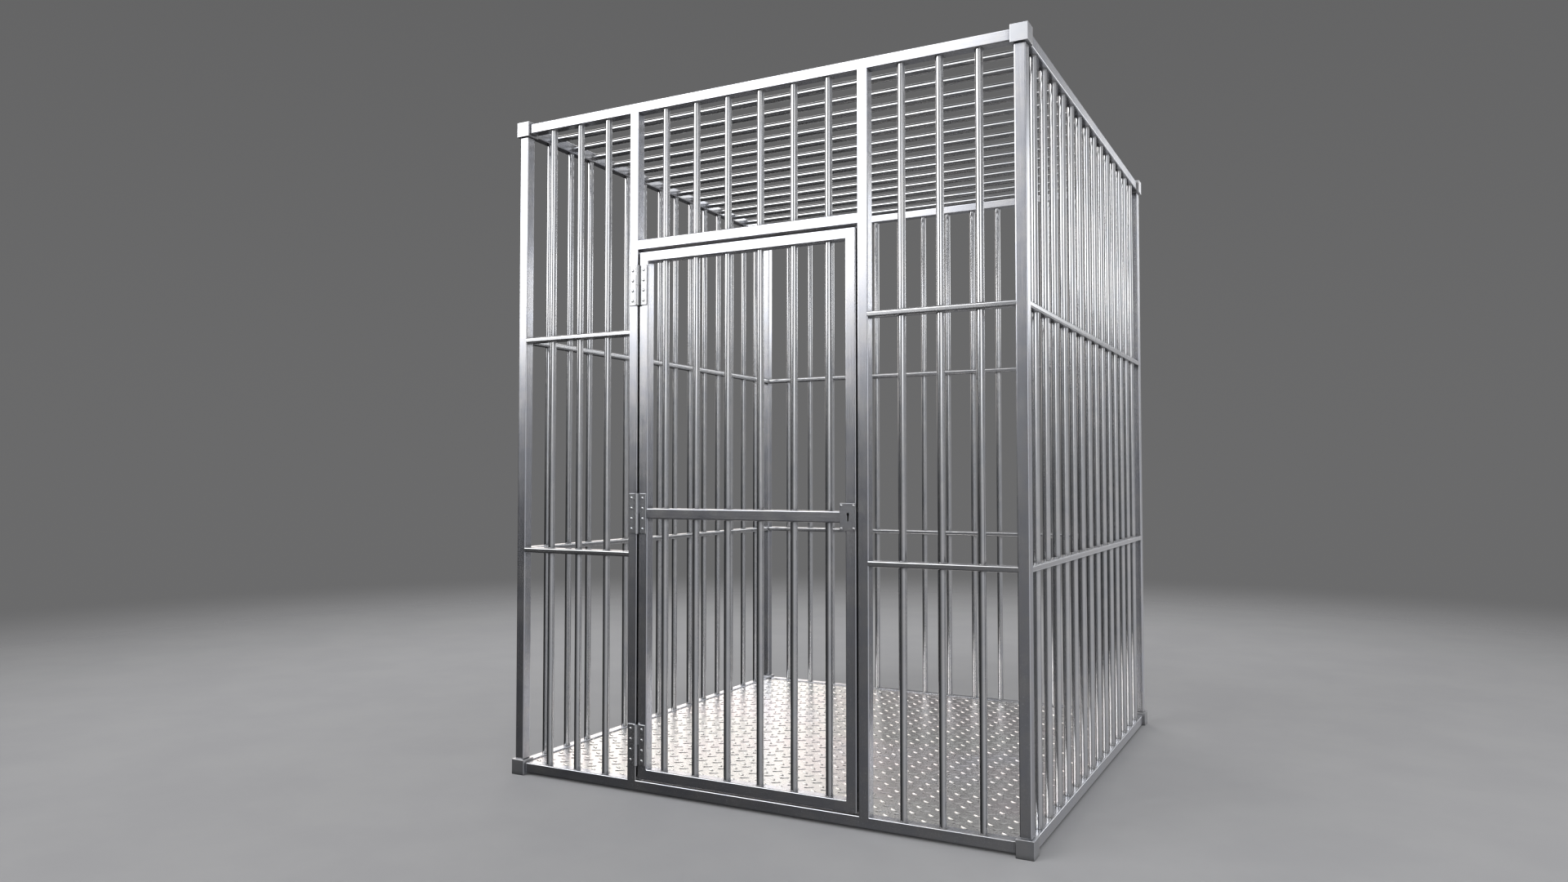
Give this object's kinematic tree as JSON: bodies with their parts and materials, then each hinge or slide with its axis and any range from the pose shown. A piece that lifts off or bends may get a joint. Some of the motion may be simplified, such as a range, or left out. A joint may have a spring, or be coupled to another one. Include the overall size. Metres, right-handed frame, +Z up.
{
  "type": "kennel cage",
  "caption": "Walk-in steel kennel cage: square-tube frame, round-bar walls and roof, tread-plate floor and a barred door on lift-off hinges with a key lock, opening outwards.",
  "frame": {"origin": "centre of the overall footprint on the ground, with the hinge knuckles that stand proud of the front counted in", "axes": "+Z up, the door side faces -Y, +X to the right for someone facing the door; the door's hinges are on its -X side and its lock on its +X side"},
  "size_m": [2, 2.006, 2.5],
  "materials": {
    "frame_steel": "brushed square tube with slightly rounded edges",
    "bar_steel": "satin drawn round tube and flat rail",
    "tread_plate": "bright raised lug tread plate",
    "hinge_steel": "satin with domed rivets",
    "lock_steel": "satin pressed plate"
  },
  "bodies": {
    "frame": {"bottom_rail_back": "frame_steel", "bottom_rail_front": "frame_steel", "bottom_rail_left": "frame_steel", "bottom_rail_right": "frame_steel", "corner_fitting_bottom_back_left": "frame_steel", "corner_fitting_bottom_back_right": "frame_steel", "corner_fitting_bottom_front_left": "frame_steel", "corner_fitting_bottom_front_right": "frame_steel", "corner_fitting_top_back_left": "frame_steel", "corner_fitting_top_back_right": "frame_steel", "corner_fitting_top_front_left": "frame_steel", "corner_fitting_top_front_right": "frame_steel", "corner_post_back_left": "frame_steel", "corner_post_back_right": "frame_steel", "corner_post_front_left": "frame_steel", "corner_post_front_right": "frame_steel", "door_header_with_transom_bars": "frame_steel", "door_post_hinge_side": "frame_steel", "door_post_lock_side": "frame_steel", "floor_tread_plate": "tread_plate", "grille_back": "bar_steel", "grille_front_left": "bar_steel", "grille_front_right": "bar_steel", "grille_left_side": "bar_steel", "grille_right_side": "bar_steel", "hinge_lower_frame_leaf": "hinge_steel", "hinge_lower_pin": "hinge_steel", "hinge_middle_frame_leaf": "hinge_steel", "hinge_middle_pin": "hinge_steel", "hinge_upper_frame_leaf": "hinge_steel", "hinge_upper_pin": "hinge_steel", "roof_bar_01": "bar_steel", "roof_bar_02": "bar_steel", "roof_bar_03": "bar_steel", "roof_bar_04": "bar_steel", "roof_bar_05": "bar_steel", "roof_bar_06": "bar_steel", "roof_bar_07": "bar_steel", "roof_bar_08": "bar_steel", "roof_bar_09": "bar_steel", "roof_bar_10": "bar_steel", "roof_bar_11": "bar_steel", "roof_bar_12": "bar_steel", "roof_bar_13": "bar_steel", "roof_bar_14": "bar_steel", "top_rail_back": "frame_steel", "top_rail_front": "frame_steel", "top_rail_left": "frame_steel", "top_rail_right": "frame_steel"},
    "door": {"door_grille_with_middle_rail": "bar_steel", "door_rail_bottom": "frame_steel", "door_rail_top": "frame_steel", "door_stile_hinge_side": "frame_steel", "door_stile_lock_side": "frame_steel", "hinge_lower_door_leaf": "hinge_steel", "hinge_middle_door_leaf": "hinge_steel", "hinge_upper_door_leaf": "hinge_steel", "lock_case": "lock_steel", "lock_face_plate": "lock_steel"},
    "bolt": {"lock_bolt": "lock_steel"}
  },
  "joints": [
    {"name": "door_hinge", "type": "hinge", "parent": "frame", "child": "door", "pos_m": [-0.429, -0.99453, 0.99625], "axis": [0, 0, -1], "range_deg": [0, 170]},
    {"name": "lock_bolt_slide", "type": "slide", "parent": "door", "child": "bolt", "axis": [1, 0, 0], "range_m": [0, 0.016]}
  ]
}
